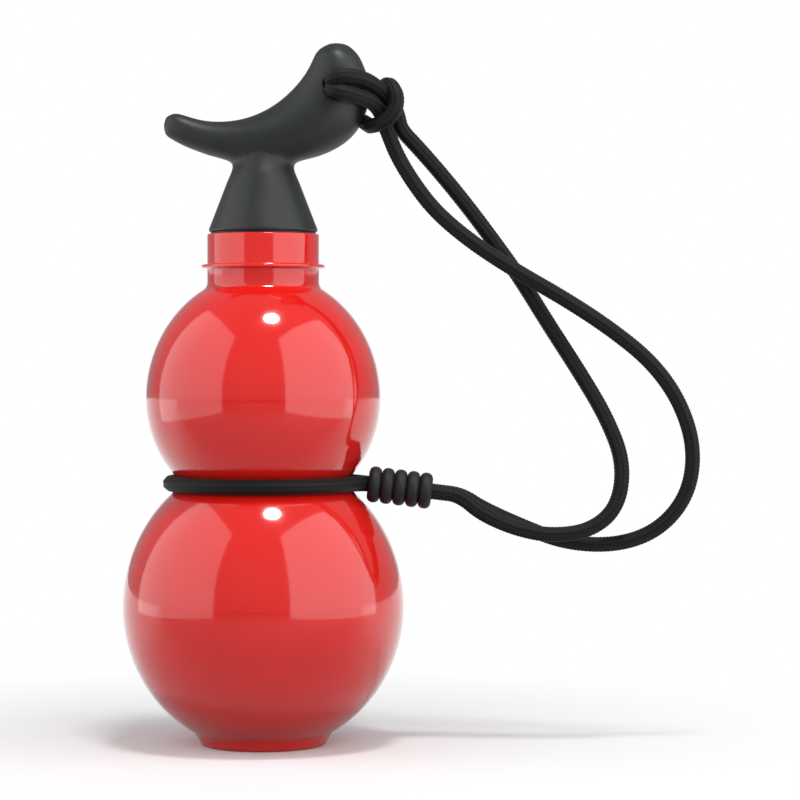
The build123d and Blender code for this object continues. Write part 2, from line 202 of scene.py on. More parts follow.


# %% [markdown]
# The two strands. Each route starts where its lead comes out of the bead, swings out and
# down, rounds its loop and climbs back to the knot at the bird's head, where it goes on
# through the hole and round the knot. The stopper can be lifted and turned, so each strand
# is two pieces that meet at a point on its way up.

# %% Strand routes
outer_controls = [
    (0.0648, 0.0029, 0.0861), (0.0684, 0.0029, 0.0856), (0.0752, 0.0029, 0.0811),
    (0.0886, 0.0032, 0.0750), (0.1040, 0.0038, 0.0689), (0.1220, 0.0040, 0.0680),
    (0.1366, 0.0034, 0.0734), (0.1464, 0.0022, 0.0854), (0.1486, 0.0008, 0.1014),
    (0.1434, -0.0008, 0.1178), (0.1334, -0.0022, 0.1316), (0.1188, -0.0032, 0.1432),
    (0.1032, -0.0038, 0.1533), (0.0868, -0.0038, 0.1626), (0.0714, -0.0034, 0.1726),
    (0.0592, -0.0028, 0.1829), (0.0514, -0.0022, 0.1931), (0.0458, -0.0016, 0.2026),
    (0.0429, -0.0019, 0.2100),
]
inner_controls = [
    (0.0648, -0.0029, 0.0861), (0.0682, -0.0029, 0.0852), (0.0750, -0.0029, 0.0793),
    (0.0868, -0.0032, 0.0742), (0.0990, -0.0034, 0.0718), (0.1126, -0.0032, 0.0736),
    (0.1220, -0.0024, 0.0818), (0.1240, -0.0010, 0.0970), (0.1180, 0.0006, 0.1126),
    (0.1086, 0.0020, 0.1284), (0.0980, 0.0032, 0.1448), (0.0882, 0.0038, 0.1608),
    (0.0791, 0.0036, 0.1734), (0.0695, 0.0030, 0.1861), (0.0605, 0.0024, 0.1970),
    (0.0529, 0.0018, 0.2056), (0.0473, 0.0020, 0.2114),
]
outer_through_knot = [
    (0.0415, -0.0015, 0.2135), (0.0405, -0.0030, 0.2170), (0.0380, -0.0075, 0.2198),
    (0.0342, -0.0114, 0.2214), (0.0302, -0.0146, 0.2224), (0.0262, -0.0164, 0.2231),
    (0.0237, -0.0140, 0.2241), (0.0239, -0.0092, 0.2246), (0.0240, 0.0, 0.2246),
    (0.0239, 0.0092, 0.2246), (0.0236, 0.0140, 0.2242), (0.0260, 0.0166, 0.2234),
    (0.0306, 0.0152, 0.2226), (0.0360, 0.0102, 0.2228), (0.0404, 0.0050, 0.2252),
    (0.0424, 0.0000, 0.2270), (0.0444, -0.0042, 0.2256), (0.0460, -0.0066, 0.2222),
    (0.0456, -0.0072, 0.2180), (0.0434, -0.0068, 0.2146), (0.0400, -0.0050, 0.2128),
    (0.0368, -0.0005, 0.2124), (0.0362, 0.0040, 0.2132), (0.0345, 0.0080, 0.2145),
]
inner_through_knot = [
    (0.0464, 0.0008, 0.2156), (0.0450, -0.0010, 0.2196), (0.0416, -0.0044, 0.2234),
    (0.0376, -0.0088, 0.2264), (0.0336, -0.0126, 0.2280), (0.0294, -0.0154, 0.2284),
    (0.0256, -0.0164, 0.2281), (0.0237, -0.0136, 0.2276), (0.0239, -0.0090, 0.2273),
    (0.0240, 0.0, 0.2273), (0.0239, 0.0092, 0.2273), (0.0236, 0.0140, 0.2277),
    (0.0260, 0.0167, 0.2283), (0.0304, 0.0158, 0.2286), (0.0350, 0.0122, 0.2272),
    (0.0395, 0.0080, 0.2230), (0.0420, 0.0060, 0.2180), (0.0424, 0.0044, 0.2140),
    (0.0434, 0.0008, 0.2108),
]
hole_centre = Vector((0.0257, 0.0, 0.22595))
hole_radius = 0.00465
head_half_width = 0.0125
squeezed_share = 0.93    # how much of its width the cord keeps inside the hole
squeeze_rounds = 60      # spreads the squeeze softly along the cord
split_height = 0.1500
print("strand routes have", len(outer_controls), "and", len(inner_controls), "points")


# %% Strand pieces
def strand(name, controls, through_knot):
    """One strand as two tubes that meet on the way up, and the line of each."""
    line = spline_line(name, controls + through_knot, ring_step)
    frames = carried_frames(line)
    along = np.linspace(0, line_length(line), len(line))
    beside = np.hypot(line[:, 0] - hole_centre.x, line[:, 2] - hole_centre.z) < hole_radius
    in_head = beside & (np.abs(line[:, 1]) < head_half_width)
    widths = evened(np.where(in_head, squeezed_share, 1.0), squeeze_rounds)
    rising = np.nonzero(line[:, 2] > split_height)[0][0]
    pieces = []
    for part, low, high in (("lower", 0, rising + 1), ("upper", rising, len(line))):
        piece = braided_tube(
            f"{name}_{part}", line[low:high], (frames[0][low:high], frames[1][low:high]),
            along[low:high], widths[low:high],
        )
        pieces.append((piece, line[low:high]))
    return pieces


outer_pieces = strand("outer_strand", outer_controls, outer_through_knot)
inner_pieces = strand("inner_strand", inner_controls, inner_through_knot)

# %% [markdown]
# The noose lies in the waist, where both globes hold it, and its two leads run side by
# side through the bead. Its ring is a round of points a little outside the circle, because
# the spline cuts inside each of them.

# %% Noose
noose_radius = 0.03184
noose_height = 0.08988
lead_side = 0.0029
lead_corner_x = 0.03384
bead_axis_fall = 0.120137
bead_axis_run = 0.992757
lead_slope = bead_axis_fall / bead_axis_run
lead_places = (0.0648, 0.0570, 0.0490, 0.0410)
touch_angle = math.acos(noose_radius / math.hypot(lead_corner_x, lead_side)) + math.atan2(
    lead_side, lead_corner_x
)
ring_points = 21
ring_turn = (2 * math.pi - 2 * touch_angle) / ring_points
ring_reach = noose_radius / math.cos(ring_turn / 2)


def lead_points(side):
    """The points of one lead, from its end to the corner where it turns into the ring."""
    points = [
        (x, side * lead_side, noose_height - (x - lead_corner_x) * lead_slope) for x in lead_places
    ]
    return points + [(lead_corner_x, side * lead_side, noose_height)]


ring_controls = [
    (
        ring_reach * math.cos(touch_angle + (step + 0.5) * ring_turn),
        ring_reach * math.sin(touch_angle + (step + 0.5) * ring_turn),
        noose_height,
    )
    for step in range(ring_points)
]
noose_controls = lead_points(1) + ring_controls + lead_points(-1)[::-1]
noose_line = spline_line("waist_noose", noose_controls, ring_step)
noose_along = np.linspace(0, line_length(noose_line), len(noose_line))
noose = braided_tube("waist_noose", noose_line, carried_frames(noose_line), noose_along)

still_height = 0.088
knot_height = 0.2035
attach(noose, "bottle")
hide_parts("cord_waist_noose")
bends = (
    ("bottle", "gasket", still_height, split_height, "object"),
    ("gasket", "stopper", split_height, knot_height, "knot"),
)
for pieces, node in ((outer_pieces, "cord_outer_strand"), (inner_pieces, "cord_inner_strand")):
    for (piece, line), (still, moving, low, high, far_end) in zip(pieces, bends):
        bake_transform(piece)
        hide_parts(node)
    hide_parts("cord_knot")

# %% [markdown]
# The bottle is blow-moulded in one piece: a warm tube of plastic is blown out against the
# walls of a mould, which leaves an even, thin wall with no joint. A lathe shape is the
# natural way to draw it. The outline is a ring of points, foot, globe, waist, globe,
# neck and back down the inside of the wall, and one turn of Spin makes the shell.

# %% Bottle outline
lower_globe = dict(radius=0.0483, drop=0.0494, rise=0.0518, middle=0.0472)
upper_globe = dict(radius=0.0403, drop=0.0406, rise=0.0434, middle=0.1191)
wall = 0.0015
waist_round = 0.0022
neck_radius = 0.01925
bore_radius = 0.0172
neck_round = 0.0030
rim_height = 0.17543
rim_round = 0.0005
foot_radius = 0.0218
foot_height = 0.0043
foot_round = 0.0010
foot_band = 0.0026
push_up = 0.0026
base_wall = 0.0024
ring_reach_out = 0.0211
ring_edge_inset = 0.0005
ring_half = 0.0007
ring_root_round = 0.0004
ring_below_rim = 0.0112
ring_height = rim_height - ring_below_rim
neck_low_step = 0.0012   # the first straight bit of the neck, over its root
base_flat = 0.012        # the flat middle of the inside of the base
shell_steps = 200
outer_steps = 36
inner_steps = 30


def arc(middle, radius, start, end, steps):
    """Points of a round arc, angles in degrees from +X towards +Z."""
    angles = np.radians(np.linspace(start, end, steps + 1))
    return [(middle[0] + radius * math.cos(a), middle[1] + radius * math.sin(a)) for a in angles]


def globe_point(globe, angle, inset):
    """A point of a globe's outline and the way straight out of it there."""
    radius = globe["radius"] - inset
    height = (globe["rise"] if angle >= 0 else globe["drop"]) - inset
    point = (radius * math.cos(angle), globe["middle"] + height * math.sin(angle))
    slope = (math.cos(angle) / radius, math.sin(angle) / height)
    size = math.hypot(*slope)
    return point, (slope[0] / size, slope[1] / size)


def halve(test, low, high):
    """The place between low and high where a test turns from true to false."""
    for _ in range(50):
        middle = (low + high) / 2
        low, high = (middle, high) if test(middle) else (low, middle)
    return (low + high) / 2


def rolled(globe, angle, inset, distance):
    """Where the middle of a ball of this radius is when it touches the globe at an angle."""
    point, out = globe_point(globe, angle, inset)
    return point[0] + out[0] * distance, point[1] + out[1] * distance


def waist(inset):
    """The round in the waist: its middle and the angles at which it touches each globe."""
    distance = waist_round + inset

    def touch(globe, z, sign):
        def short_of(angle):
            return (rolled(globe, sign * angle, inset, distance)[1] - z) * sign < 0
        return halve(short_of, 0, math.pi / 2) * sign

    def lower_wider(z):
        low = rolled(lower_globe, touch(lower_globe, z, 1), inset, distance)[0]
        return low > rolled(upper_globe, touch(upper_globe, z, -1), inset, distance)[0]

    z = halve(lower_wider, lower_globe["middle"], upper_globe["middle"])
    low, high = touch(lower_globe, z, 1), touch(upper_globe, z, -1)
    return rolled(lower_globe, low, inset, distance), low, high


def wall_line(inset, floor, neck, steps):
    """The outline from the floor up to the straight neck, drawn in by an inset."""
    middle, low, high = waist(inset)
    root_round = neck_round + inset

    def over_floor(angle):
        return globe_point(lower_globe, -angle, inset)[0][1] > floor

    def outside_neck(angle):
        return rolled(upper_globe, angle, inset, root_round)[0] > neck + root_round

    start = -halve(over_floor, 0, math.pi / 2)
    root = halve(outside_neck, 0, math.pi / 2)
    points = [globe_point(lower_globe, a, inset)[0] for a in np.linspace(start, low, 2 * steps)]
    turn_in = math.degrees(math.atan2(points[-1][1] - middle[1], points[-1][0] - middle[0]))
    upper = [globe_point(upper_globe, a, inset)[0] for a in np.linspace(high, root, 2 * steps)]
    turn_out = math.degrees(math.atan2(upper[0][1] - middle[1], upper[0][0] - middle[0]))
    turn_out = turn_out - 360 if turn_out > 0 else turn_out
    points += arc(middle, waist_round + inset, turn_in, turn_out, 10)[1:-1] + upper
    root_middle = rolled(upper_globe, root, inset, root_round)
    begin = math.degrees(math.atan2(upper[-1][1] - root_middle[1], upper[-1][0] - root_middle[0]))
    points += arc(root_middle, root_round, begin if begin < 0 else begin - 360, -180, 8)[1:]
    return points


outer_wall = wall_line(0, foot_height, neck_radius, outer_steps)
inner_wall = wall_line(wall, push_up + base_wall, bore_radius, inner_steps)
waist_band = [reach for reach, height in outer_wall if abs(height - noose_height) < 0.010]
print("waist radius", round(min(waist_band) * 1000, 2), "mm")


# %% Spin a lathe shape
def clear_selection():
    """Nothing selected, as an operator acts on all that is."""
    if bpy.context.object and bpy.context.object.mode != "OBJECT":
        bpy.ops.object.mode_set(mode="OBJECT")
    bpy.ops.object.select_all(action="DESELECT")


starter_radius = 0.01    # a circle is only a start; its points are laid on the outline
merge_distance = 0.000002


def spun(name, outline, steps):
    """A ring of vertices laid on an outline (radius, height) and spun once round Z."""
    clear_selection()
    bpy.ops.mesh.primitive_circle_add(
        vertices=len(outline), radius=starter_radius, fill_type="NOTHING"
    )
    piece = bpy.context.object
    piece.name = piece.data.name = name
    bpy.ops.object.transform_apply(location=True, rotation=True, scale=True)
    bpy.ops.object.mode_set(mode="EDIT")
    ring = bmesh.from_edit_mesh(piece.data)
    ring.verts.ensure_lookup_table()
    for vertex, (reach, height) in zip(ring.verts, outline):
        vertex.co = (reach, 0, height)
    ring.edges.remove(ring.edges.get((ring.verts[-1], ring.verts[0])))
    bmesh.update_edit_mesh(piece.data)
    bpy.ops.mesh.select_all(action="SELECT")
    bpy.ops.mesh.spin(steps=steps, angle=2 * math.pi, center=(0, 0, 0), axis=(0, 0, 1))
    bpy.ops.mesh.select_all(action="SELECT")
    bpy.ops.mesh.remove_doubles(threshold=merge_distance)
    bpy.ops.mesh.normals_make_consistent(inside=False)
    bpy.ops.object.mode_set(mode="OBJECT")
    bpy.ops.object.shade_smooth_by_angle(angle=math.radians(35))
    print(name, "has", len(piece.data.polygons), "faces")
    return piece


# %% Bottle shell
contact = foot_radius - foot_round
dome_rim = contact - foot_band
dome_radius = (dome_rim ** 2 + push_up ** 2) / (2 * push_up)
dome_half = math.degrees(math.asin(dome_rim / dome_radius))
dome = arc((0, push_up - dome_radius), dome_radius, 90, 90 - dome_half, 14)
foot = arc((contact, foot_round), foot_round, -90, 0, 6)
root_reach = neck_radius + ring_root_round
root_rise = ring_half + ring_root_round
ring_root = arc((root_reach, ring_height - root_rise), ring_root_round, 180, 90, 3)
ring_edge = arc((ring_reach_out - ring_edge_inset, ring_height), ring_half, -90, 90, 8)
ring_top = arc((root_reach, ring_height + root_rise), ring_root_round, -90, -180, 3)
rim = arc((neck_radius - rim_round, rim_height - rim_round), rim_round, 0, 90, 4)
rim += arc((bore_radius + rim_round, rim_height - rim_round), rim_round, 90, 180, 4)
neck_low = [(neck_radius, outer_wall[-1][1] + neck_low_step)]
base_top = push_up + base_wall
outline = (
    dome + foot + outer_wall + neck_low + ring_root + ring_edge + ring_top
    + rim + inner_wall[::-1] + [(base_flat, base_top), (0.0, base_top)]
)
bottle = spun("bottle_shell", outline, shell_steps)
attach(bottle, "bottle")
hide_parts("bottle")

# %% [markdown]
# The stopper's outer part is one moulding: a cone that sits on the neck, growing into a
# bird that is the grip. The real bird was sculpted for the mould, so it has no edges. It is
# lofted here as by hand, from oval rings laid across its body from tail to crown, bridged
# and rounded by a subdivision surface.

# %% Bird rings
bird_length = 0.0700
bird_height = 0.0436
bird_width = 0.0224
cone_foot = 0.17603
cone_top = 0.19733
bird_cuts = (
    (-0.477, 0.410, -0.481, 0.293, 0.085), (-0.462, 0.430, -0.467, 0.263, 0.142),
    (-0.431, 0.446, -0.429, 0.225, 0.196), (-0.377, 0.427, -0.358, 0.171, 0.241),
    (-0.300, 0.394, -0.257, 0.112, 0.290), (-0.200, 0.383, -0.121, 0.051, 0.357),
    (-0.081, 0.412, 0.057, 0.035, 0.429), (0.036, 0.494, 0.247, 0.097, 0.478),
    (0.122, 0.599, 0.385, 0.197, 0.500), (0.182, 0.702, 0.471, 0.336, 0.496),
    (0.227, 0.812, 0.515, 0.514, 0.469), (0.256, 0.909, 0.519, 0.688, 0.420),
    (0.283, 0.958, 0.488, 0.841, 0.344), (0.309, 0.982, 0.461, 0.916, 0.250),
    (0.334, 0.995, 0.424, 0.971, 0.150),
)
tail_tip = (-0.489, 0.352)
crown_top = (0.381, 1.0)
ring_corners = 24


def bird_place(share):
    """A point in the bird's middle plane from shares of its length and height."""
    return np.array((share[0] * bird_length, 0.0, cone_top + share[1] * bird_height))


def bird_rings():
    """Middle, half height and half width of each ring, so that the rounded skin meets the cuts.

    A subdivision surface settles at a sixth of each neighbour and four sixths of the point
    itself, so the rings are solved from the cuts that the finished skin has to pass through.
    """
    wanted = []
    across_share = 6 / (4 + 2 * math.cos(2 * math.pi / ring_corners))
    for back_x, back_z, belly_x, belly_z, width in bird_cuts:
        back, belly = bird_place((back_x, back_z)), bird_place((belly_x, belly_z))
        half = (back - belly) / 2 * across_share
        wanted.append([*(back + belly) / 2, *half, width * bird_width * across_share])
    count = len(wanted)
    pull = 4 * np.eye(count) + np.eye(count, k=1) + np.eye(count, k=-1)
    sums = 6 * np.array(wanted)
    sums[0, :3] -= bird_place(tail_tip)
    sums[-1, :3] -= bird_place(crown_top)
    return np.linalg.solve(pull, sums)


def bird_body():
    """Oval rings from tail to crown, bridged into one skin and closed at both ends."""
    clear_selection()
    start = dict(vertices=ring_corners, radius=starter_radius, fill_type="NOTHING")
    bpy.ops.mesh.primitive_circle_add(**start)
    body = bpy.context.object
    body.name = body.data.name = "bird_body"
    bpy.ops.object.mode_set(mode="EDIT")
    for _ in bird_cuts[1:]:
        bpy.ops.mesh.primitive_circle_add(**start)
    shape = bmesh.from_edit_mesh(body.data)
    shape.verts.ensure_lookup_table()
    for index, ring in enumerate(bird_rings()):
        side = np.array((0.0, ring[6], 0.0))
        for corner in range(ring_corners):
            angle = 2 * math.pi * corner / ring_corners
            place = ring[:3] + ring[3:6] * math.cos(angle) + side * math.sin(angle)
            shape.verts[index * ring_corners + corner].co = place
    bmesh.update_edit_mesh(body.data)
    bpy.ops.mesh.select_all(action="SELECT")
    bpy.ops.mesh.bridge_edge_loops()
    shape = bmesh.from_edit_mesh(body.data)
    shape.verts.ensure_lookup_table()
    for first, tip in ((0, tail_tip), ((len(bird_cuts) - 1) * ring_corners, crown_top)):
        end = shape.verts.new(bird_place(tip))
        shape.verts.ensure_lookup_table()
        for corner in range(ring_corners):
            a = shape.verts[first + corner]
            b = shape.verts[first + (corner + 1) % ring_corners]
            shape.faces.new((a, b, end))
    bmesh.update_edit_mesh(body.data)
    bpy.ops.mesh.select_all(action="SELECT")
    bpy.ops.mesh.normals_make_consistent(inside=False)
    bpy.ops.object.mode_set(mode="OBJECT")
    smooth = body.modifiers.new("Smooth skin", "SUBSURF")
    smooth.levels = smooth.render_levels = 3
    bpy.ops.object.modifier_apply(modifier=smooth.name)
    return body


bird = bird_body()
skin = np.array([v.co for v in bird.data.vertices]) * 1000
print("bird from", skin.min(0).round(1), "to", skin.max(0).round(1), "mm")

# %% [markdown]
# Where two moulded forms meet there is no sharp line, because plastic doesn't fill a knife
# edge and the mould maker rounds it. The cone and the bird are joined, the hole for the
# cord is cut, and the whole skin is remeshed in small even squares. Then only the skin
# round the joint and round the mouths of the hole is smoothed, again and again, which
# melts these edges into hollows and rounds.

# %% Handle
cone_base = 0.01875
cone_neck = 0.01075
cone_run_in = 0.0075
cone_edge = 0.0006
socket_radius = 0.01045
socket_depth = 0.00705
core_radius = 0.0062
core_depth = 0.0175
drill_length = 0.05
skin_square = 0.00040


def cone_at(height):
    """The cone's radius at a height."""
    return cone_base - (cone_base - cone_neck) * (height - cone_foot) / (cone_top - cone_foot)


side_lean = math.degrees(math.atan2(cone_base - cone_neck, cone_top - cone_foot))
edge = arc((cone_base - cone_edge, cone_foot + cone_edge), cone_edge, -90, side_lean, 6)
cone_tip = cone_top + cone_run_in
core_top = cone_foot + core_depth
socket_top = cone_foot + socket_depth
cone_line = [(0.0, core_top), (core_radius, core_top), (socket_radius, socket_top)]
cone_line += [(socket_radius, cone_foot)] + edge + [(cone_at(cone_tip), cone_tip), (0.0, cone_tip)]
handle = spun("stopper_grip", cone_line, 96)
clear_selection()
bpy.context.view_layer.objects.active = handle
join = handle.modifiers.new("Join the bird", "BOOLEAN")
join.operation, join.object, join.solver = "UNION", bird, "EXACT"
bpy.ops.object.modifier_apply(modifier=join.name)
clear_selection()
bpy.ops.mesh.primitive_cylinder_add(
    vertices=64, radius=hole_radius, depth=drill_length,
    location=hole_centre, rotation=(math.pi / 2, 0, 0),
)
drill = bpy.context.object
clear_selection()
bpy.context.view_layer.objects.active = handle
cut = handle.modifiers.new("Cord hole", "BOOLEAN")
cut.operation, cut.object, cut.solver = "DIFFERENCE", drill, "EXACT"
bpy.ops.object.modifier_apply(modifier=cut.name)
for helper in (bird, drill):
    bpy.data.objects.remove(helper)
remesh = handle.modifiers.new("Even skin", "REMESH")
remesh.mode, remesh.voxel_size, remesh.use_smooth_shade = "VOXEL", skin_square, True
bpy.ops.object.modifier_apply(modifier=remesh.name)
print("handle has", len(handle.data.polygons), "faces")


# %% Smooth the joint and the hole's mouths
core_clear = 0.0088          # nearer the axis than this is the hollow, which stays sharp
joint_rise = 0.0030          # how far over the cone's top the bird meets it
joint_side_rise = 0.0035     # and how much more at the sides, where the belly curves up
joint_inset = 0.0005
joint_band = 0.0010
joint_full, joint_gone, joint_rounds = 0.0036, 0.0080, 240
mouth_side = 0.0075          # the mouths lie farther from the middle plane than this
mouth_full, mouth_gone, mouth_rounds = 0.0009, 0.0022, 14
skin_rounds = 3
least_weight = 0.01


def smooth_group(piece, name, weights, rounds):
    """Relaxes the skin where the weights say."""
    group = piece.vertex_groups.new(name=name)
    for index in np.nonzero(weights > least_weight)[0]:
        group.add([int(index)], float(weights[index]), "REPLACE")
    relax = piece.modifiers.new(name, "SMOOTH")
    relax.factor, relax.iterations, relax.vertex_group = 0.5, rounds, name
    clear_selection()
    bpy.context.view_layer.objects.active = piece
    bpy.ops.object.modifier_apply(modifier=relax.name)
    print(name, "smoothed", rounds, "times")


def nearness(distance, full, gone):
    """1 up to one distance, 0 past another, and a smooth fall between."""
    share = np.clip((gone - distance) / (gone - full), 0, 1)
    return share * share * (3 - 2 * share)


co = np.array([v.co for v in handle.data.vertices])
reach = np.hypot(co[:, 0], co[:, 1])
joint_height = cone_top + joint_rise + joint_side_rise * np.abs(co[:, 1]) / cone_neck
off_band = np.maximum(0, np.abs(reach - cone_neck + joint_inset) - joint_band)
off_joint = np.hypot(off_band, co[:, 2] - joint_height)
joint = np.where(reach > core_clear, nearness(off_joint, joint_full, joint_gone), 0)
smooth_group(handle, "Joint", joint, joint_rounds)
co = np.array([v.co for v in handle.data.vertices])
off_hole = np.abs(np.hypot(co[:, 0] - hole_centre.x, co[:, 2] - hole_centre.z) - hole_radius)
mouth = np.where(np.abs(co[:, 1]) > mouth_side, nearness(off_hole, mouth_full, mouth_gone), 0)
smooth_group(handle, "Mouths", mouth, mouth_rounds)
smooth_group(handle, "Skin", np.full(len(co), 1.0), skin_rounds)
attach(handle, "stopper")
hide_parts("stopper_handle")

# %% [markdown]
# Materials. One small function adds a node with its settings and its links, and one turns
# the hex colours that people write into the linear values that the shader works in.

# %% Material helpers
def linear(hex_colour):
    """An sRGB hex colour as the linear colour that a shader takes."""
    parts = [int(hex_colour[i:i + 2], 16) / 255 for i in (1, 3, 5)]
    return (*[c / 12.92 if c <= 0.04045 else ((c + 0.055) / 1.055) ** 2.4 for c in parts], 1.0)


def add(tree, kind, settings=None, **links):
    """Adds a node, sets its properties and sockets, and links its inputs by name or as i0, i1."""
    node = tree.nodes.new(kind)
    for key, value in (settings or {}).items():
        if key in node.inputs:
            node.inputs[key].default_value = value
        else:
            setattr(node, key, value)
    for key, source in links.items():
        numbered = key[0] == "i" and key[1:].isdigit()
        tree.links.new(source, node.inputs[int(key[1:]) if numbered else key])
    return node


def new_material(name):
    """An empty material: its tree, its shader and its output."""
    material = bpy.data.materials.new(name)
    material.use_nodes = True
    tree = material.node_tree
    tree.nodes.clear()
    shader = tree.nodes.new("ShaderNodeBsdfPrincipled")
    output = tree.nodes.new("ShaderNodeOutputMaterial")
    tree.links.new(shader.outputs["BSDF"], output.inputs["Surface"])
    return material, tree, shader


def finish_with(piece, material):
    """Gives a piece one material."""
    piece.data.materials.clear()
    piece.data.materials.append(material)
    print(piece.name, "is finished in", material.name)


# %% [markdown]
# The bottle is tinted PET or polypropylene, blown and glossy from the polished mould. The
# pigment is dense, so it looks solid red, yet a little light goes through the thin wall, so
# its shaded side stays warm. A small share of subsurface light gives that. The steep edges
# look paler because their gloss mirrors the white behind. The mould's surface leaves very
# slight waves, centimetres long.

# %% Glossy red blown plastic
waves_per_metre = 45.0       # each about 22 mm long
rubs_per_metre = 180.0       # patches of slightly duller polish, 5 to 6 mm wide
red_plastic, tree, shader = new_material("Glossy_red_blown_plastic")
place = add(tree, "ShaderNodeTexCoord")
waves = add(
    tree, "ShaderNodeTexNoise", {"Scale": waves_per_metre, "Detail": 1.0},
    Vector=place.outputs["Object"],
)
ripple = add(
    tree, "ShaderNodeBump", {"Strength": 0.06, "Distance": 0.0004}, Height=waves.outputs["Fac"]
)
rubs = add(
    tree, "ShaderNodeTexNoise", {"Scale": rubs_per_metre, "Detail": 3.0},
    Vector=place.outputs["Object"],
)
polish = add(
    tree, "ShaderNodeMapRange", {"From Min": 0.3, "From Max": 0.7, "To Min": 0.10, "To Max": 0.15},
    Value=rubs.outputs["Fac"],
)
tint = add(tree, "ShaderNodeValToRGB", Fac=waves.outputs["Fac"])
tint.color_ramp.elements[0].color = linear("#CF1712")
tint.color_ramp.elements[1].color = linear("#DA1D16")
tree.links.new(tint.outputs["Color"], shader.inputs["Base Color"])
tree.links.new(polish.outputs["Result"], shader.inputs["Roughness"])
tree.links.new(ripple.outputs["Normal"], shader.inputs["Normal"])
shader.inputs["IOR"].default_value = 1.52
shader.inputs["Subsurface Weight"].default_value = 0.25
shader.inputs["Subsurface Radius"].default_value = (1.0, 0.25, 0.12)
shader.inputs["Subsurface Scale"].default_value = 0.004
shader.inputs["Coat Weight"].default_value = 0.8
shader.inputs["Coat Roughness"].default_value = 0.04
finish_with(bottle, red_plastic)

# %% [markdown]
# The grip is black ABS from a mould with a spark-eroded texture, a fine matt grain. The real
# one is finer than this, 0.38 mm is as fine as still shows in the picture. It scatters the
# lamps into broad grey highlights.

# %% Satin black moulded plastic
pits_per_metre = 2600.0      # each about 0.38 mm wide
clouds_per_metre = 70.0      # patches of slightly other shade, about 14 mm wide
black_plastic, tree, shader = new_material("Satin_black_moulded_ABS")
place = add(tree, "ShaderNodeTexCoord")
grain = add(
    tree, "ShaderNodeTexNoise", {"Scale": pits_per_metre, "Detail": 2.0},
    Vector=place.outputs["Object"],
)
pits = add(
    tree, "ShaderNodeBump", {"Strength": 0.35, "Distance": 0.00004}, Height=grain.outputs["Fac"]
)
cloud = add(
    tree, "ShaderNodeTexNoise", {"Scale": clouds_per_metre, "Detail": 2.0},
    Vector=place.outputs["Object"],
)
shade = add(tree, "ShaderNodeValToRGB", Fac=cloud.outputs["Fac"])
shade.color_ramp.elements[0].color = linear("#151817")
shade.color_ramp.elements[1].color = linear("#1B1F1E")
sheen = add(
    tree, "ShaderNodeMapRange", {"From Min": 0.3, "From Max": 0.7, "To Min": 0.40, "To Max": 0.48},
    Value=cloud.outputs["Fac"],
)
tree.links.new(shade.outputs["Color"], shader.inputs["Base Color"])
tree.links.new(sheen.outputs["Result"], shader.inputs["Roughness"])
tree.links.new(pits.outputs["Normal"], shader.inputs["Normal"])
shader.inputs["IOR"].default_value = 1.53
finish_with(handle, black_plastic)

# %% [markdown]
# The braid is dyed polyester yarn. Each yarn is a bundle of fine filaments. Real ones are
# far too thin to show, so they are drawn as a fuzz of about 0.2 mm, which gives the cord its
# soft, silky look. The mesh keeps how high each place of a stitch stands, and shade is
# painted into the colour where it lies low, so the hollows between the stitches are darker.

# %% Black braided polyester
fibres_per_metre = 5200.0    # each about 0.19 mm wide
braid, tree, shader = new_material("Black_braided_polyester")
chart = add(tree, "ShaderNodeUVMap", {"uv_map": "Cord"})
fibres = add(
    tree, "ShaderNodeTexNoise", {"Scale": fibres_per_metre, "Detail": 2.0},
    Vector=chart.outputs["UV"],
)
fuzz = add(
    tree, "ShaderNodeBump", {"Strength": 0.5, "Distance": 0.00006}, Height=fibres.outputs["Fac"]
)
# Painted shade: the lower a place of a stitch lies, the darker its colour; the fibres' own tone is
# mixed in.
stitch = add(tree, "ShaderNodeAttribute", {"attribute_name": "Stitch_height_for_shade"})
fibre_tone_and_hollow_shade = add(
    tree, "ShaderNodeMath", {"operation": "MULTIPLY"},
    i0=stitch.outputs["Fac"], i1=fibres.outputs["Fac"],
)
shade = add(tree, "ShaderNodeValToRGB", Fac=fibre_tone_and_hollow_shade.outputs[0])
shade.color_ramp.elements[0].color = linear("#050505")
shade.color_ramp.elements[1].color = linear("#242625")
tree.links.new(shade.outputs["Color"], shader.inputs["Base Color"])
tree.links.new(fuzz.outputs["Normal"], shader.inputs["Normal"])
shader.inputs["Roughness"].default_value = 0.6
shader.inputs["Specular IOR Level"].default_value = 0.22
shader.inputs["Sheen Weight"].default_value = 0.05
shader.inputs["Sheen Roughness"].default_value = 0.4
for piece in [noose] + [piece for piece, _ in outer_pieces + inner_pieces]:
    finish_with(piece, braid)

# %% [markdown]
# The bead is soft moulded rubber, matt and nearly black. The gasket and the seals are
# silicone, smoother and slightly shiny, and the plug inside the neck is plain ABS. Each has
# a grain of 0.3 to 0.4 mm, again as fine as still shows, and a shade that drifts a little
# over about 6 mm.

# %% Rubbers and the plug
drifts_per_metre = 160.0


def moulded(name, dark, light, rough, grains_per_metre, depth):
    """A moulded finish with a cloudy colour and a fine grain."""
    material, tree, shader = new_material(name)
    place = add(tree, "ShaderNodeTexCoord")
    grain = add(
        tree, "ShaderNodeTexNoise", {"Scale": grains_per_metre, "Detail": 2.0},
        Vector=place.outputs["Object"],
    )
    bump = add(
        tree, "ShaderNodeBump", {"Strength": 0.3, "Distance": depth}, Height=grain.outputs["Fac"]
    )
    cloud = add(
        tree, "ShaderNodeTexNoise", {"Scale": drifts_per_metre, "Detail": 3.0},
        Vector=place.outputs["Object"],
    )
    shade = add(tree, "ShaderNodeValToRGB", Fac=cloud.outputs["Fac"])
    shade.color_ramp.elements[0].color = linear(dark)
    shade.color_ramp.elements[1].color = linear(light)
    tree.links.new(shade.outputs["Color"], shader.inputs["Base Color"])
    tree.links.new(bump.outputs["Normal"], shader.inputs["Normal"])
    shader.inputs["Roughness"].default_value = rough
    return material


